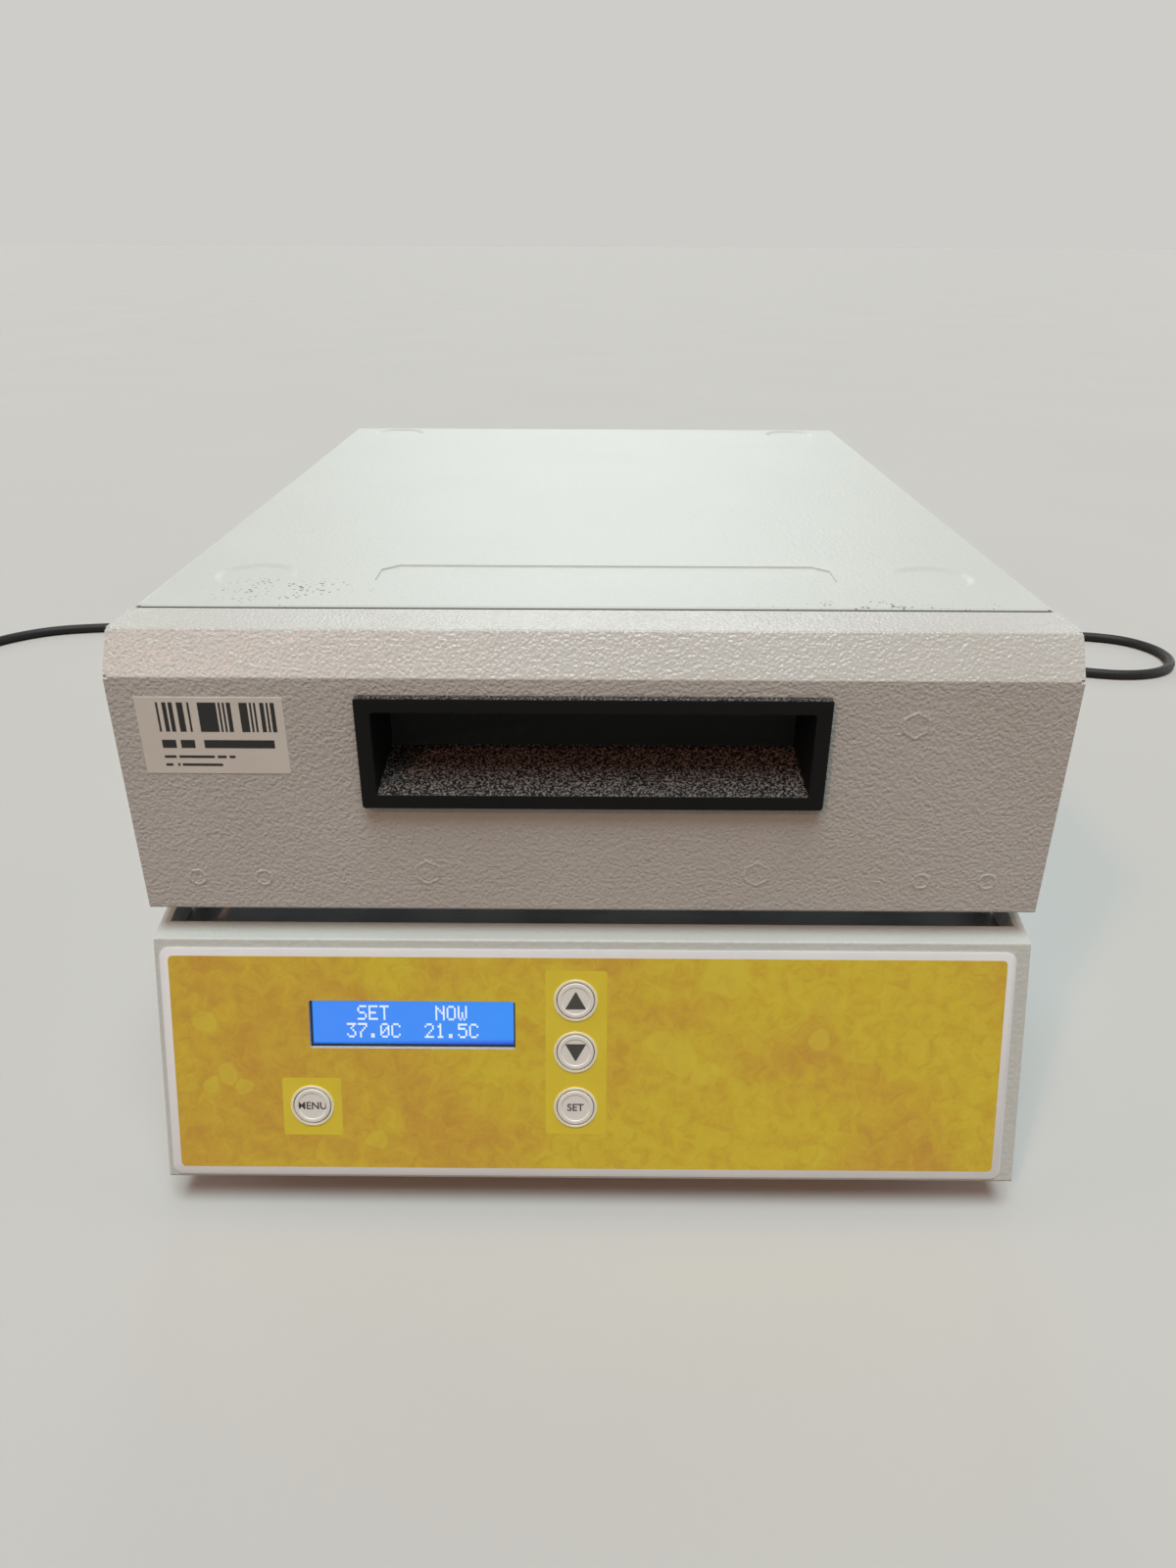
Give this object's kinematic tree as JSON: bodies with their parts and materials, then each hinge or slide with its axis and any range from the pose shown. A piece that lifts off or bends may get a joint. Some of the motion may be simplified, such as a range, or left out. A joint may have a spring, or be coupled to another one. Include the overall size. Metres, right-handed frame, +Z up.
{
  "type": "hybridization oven",
  "caption": "Compact bench oven: folded sheet case with a drop-down insulated door, leaning control panel with display and round keys, slide chamber inside, and a mains lead.",
  "frame": {"origin": "on the bench, under the middle of the case's outline (the lead is left out)", "axes": "+Z up, -Y towards the front, where the door and the control panel are, and +X to the right of someone who faces the panel"},
  "size_m": [1.0311, 0.6177, 0.192],
  "materials": {
    "case_paint": "satin, fine orange peel",
    "plated_sheet": "satin",
    "stainless_sheet": "brushed",
    "bright_steel": "polished",
    "black_plastic": "fine grain",
    "key_plastic": "satin",
    "overlay_film": "soft satin print",
    "clear_film": "clear",
    "blue_display": "backlit",
    "green_board": "solder mask",
    "wool": "pressed fibre",
    "silicone": "matte",
    "black_rubber": "matte",
    "brass_pin": "bright",
    "white_paper": "satin",
    "clear_glass": "clear",
    "magnet": "matte"
  },
  "bodies": {
    "oven": {"front_casing": "case_paint", "lower_pan": "plated_sheet", "cabinet_wrapper": "case_paint", "rear_panel": "plated_sheet", "front_frame": "plated_sheet", "trough_pan": "plated_sheet", "deck_plate": "plated_sheet", "chamber_liner": "stainless_sheet", "tray_rails": "stainless_sheet", "heater_mats": "silicone", "bottom_insulation": "wool", "top_insulation": "wool", "side_insulation": "wool", "back_insulation": "wool", "temperature_probe": "bright_steel", "thermal_cutout": "bright_steel", "door_gasket": "silicone", "hinge_arms": "plated_sheet", "hinge_pins": "bright_steel", "magnet_catches": "magnet", "graphic_overlay": "overlay_film", "display_window": "clear_film", "display_bezel": "plated_sheet", "display_glass": "blue_display", "display_board": "green_board", "control_board": "green_board", "board_standoffs": "black_plastic", "key_switches": "key_plastic", "power_supply": "plated_sheet", "heater_relay": "black_plastic", "terminal_block": "black_plastic", "mains_inlet": "black_plastic", "inlet_blades": "brass_pin", "switch_housing": "black_plastic", "cover_screws": "bright_steel", "rear_screws": "bright_steel", "feet": "black_rubber", "foot_screws": "bright_steel", "power_cord": "black_rubber", "power_cord_coil": "black_rubber", "mains_connector": "black_rubber", "mains_plug": "black_rubber"},
    "door": {"door_shell": "case_paint", "door_inner_panel": "stainless_sheet", "door_insulation": "wool", "handle_cup": "black_plastic", "handle_clips": "black_plastic", "hinge_leaves": "plated_sheet", "hinge_studs": "bright_steel", "door_standoffs": "bright_steel", "door_screws": "bright_steel", "strike_plates": "stainless_sheet", "blank_label": "white_paper"},
    "up_button": {"up_key": "key_plastic"},
    "down_button": {"down_key": "key_plastic"},
    "set_button": {"set_key": "key_plastic"},
    "menu_button": {"menu_key": "key_plastic"},
    "rocker": {"power_rocker": "black_plastic"},
    "fuse_tray": {"fuse_drawer": "black_plastic", "fuses": "clear_glass"}
  },
  "joints": [
    {"name": "door_hinge", "type": "hinge", "parent": "oven", "child": "door", "pos_m": [0, -0.1691, 0.108], "axis": [1, 0, 0], "range_deg": [0, 90]},
    {"name": "up_key_press", "type": "slide", "parent": "oven", "child": "up_button", "axis": [0, 0.962, -0.273], "range_m": [0, 0.0004], "stiffness_N_per_m": 1500},
    {"name": "down_key_press", "type": "slide", "parent": "oven", "child": "down_button", "axis": [0, 0.962, -0.273], "range_m": [0, 0.0004], "stiffness_N_per_m": 1500},
    {"name": "set_key_press", "type": "slide", "parent": "oven", "child": "set_button", "axis": [0, 0.962, -0.273], "range_m": [0, 0.0004], "stiffness_N_per_m": 1500},
    {"name": "menu_key_press", "type": "slide", "parent": "oven", "child": "menu_button", "axis": [0, 0.962, -0.273], "range_m": [0, 0.0004], "stiffness_N_per_m": 1500},
    {"name": "power_switch", "type": "hinge", "parent": "oven", "child": "rocker", "pos_m": [0.04, 0.1914, 0.046], "axis": [1, 0, 0], "range_deg": [-12, 0]},
    {"name": "fuse_drawer_slide", "type": "slide", "parent": "oven", "child": "fuse_tray", "axis": [0, 1, 0], "range_m": [0, 0.016]}
  ]
}
